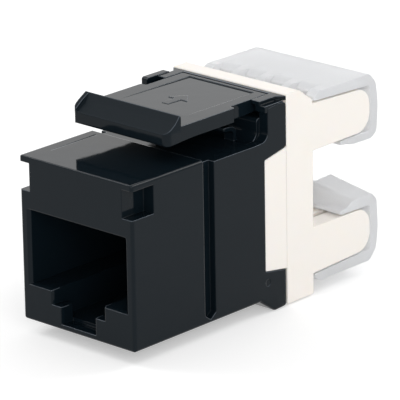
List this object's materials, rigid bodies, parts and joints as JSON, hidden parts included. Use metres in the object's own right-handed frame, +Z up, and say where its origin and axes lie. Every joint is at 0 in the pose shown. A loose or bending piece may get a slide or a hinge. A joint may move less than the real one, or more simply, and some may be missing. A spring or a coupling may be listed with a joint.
{
  "type": "keystone jack",
  "caption": "Snap-in RJ45 keystone jack: black front with plug port and springy latch arm, white rear block with slotted wire towers and clear wire caps.",
  "frame": {"origin": "middle of the front face's lower edge, the reference point of the snap-in interface", "axes": "+X across the jack, to the right for someone facing the port, +Y from the front face to the rear, +Z up towards the latch arm"},
  "size_m": [0.0144, 0.0348, 0.0222],
  "materials": {
    "black_plastic": "moulded black plastic, satin gloss",
    "carrier_plastic": "moulded black plastic, matte",
    "white_plastic": "moulded warm white plastic",
    "clear_plastic": "clear polycarbonate, glossy",
    "board_laminate": "green solder mask",
    "gold_plated_bronze": "gold-plated spring wire",
    "tinned_bronze": "tinned stamped blade"
  },
  "bodies": {
    "housing": {"front_housing": "black_plastic", "idc_block": "white_plastic", "circuit_board": "board_laminate", "contact_carrier": "carrier_plastic", "jack_contact_1": "gold_plated_bronze", "jack_contact_2": "gold_plated_bronze", "jack_contact_3": "gold_plated_bronze", "jack_contact_4": "gold_plated_bronze", "jack_contact_5": "gold_plated_bronze", "jack_contact_6": "gold_plated_bronze", "jack_contact_7": "gold_plated_bronze", "jack_contact_8": "gold_plated_bronze", "idc_contact_top_1": "tinned_bronze", "idc_contact_bottom_1": "tinned_bronze", "idc_contact_top_2": "tinned_bronze", "idc_contact_bottom_2": "tinned_bronze", "idc_contact_top_3": "tinned_bronze", "idc_contact_bottom_3": "tinned_bronze", "idc_contact_top_4": "tinned_bronze", "idc_contact_bottom_4": "tinned_bronze"},
    "latch": {"latch_arm": "black_plastic"},
    "cap_top": {"wire_cap_top": "clear_plastic"},
    "cap_bottom": {"wire_cap_bottom": "clear_plastic"}
  },
  "joints": [
    {"name": "latch_flex", "type": "hinge", "parent": "housing", "child": "latch", "pos_m": [0, 0.02055, 0.01917], "axis": [1, 0, 0], "range_deg": [0, 7], "stiffness_Nm_per_rad": 0.05},
    {"name": "cap_top_pull", "type": "slide", "parent": "housing", "child": "cap_top", "axis": [0, 1, 0], "range_m": [0, 0.009]},
    {"name": "cap_bottom_pull", "type": "slide", "parent": "housing", "child": "cap_bottom", "axis": [0, 1, 0], "range_m": [0, 0.009]}
  ]
}
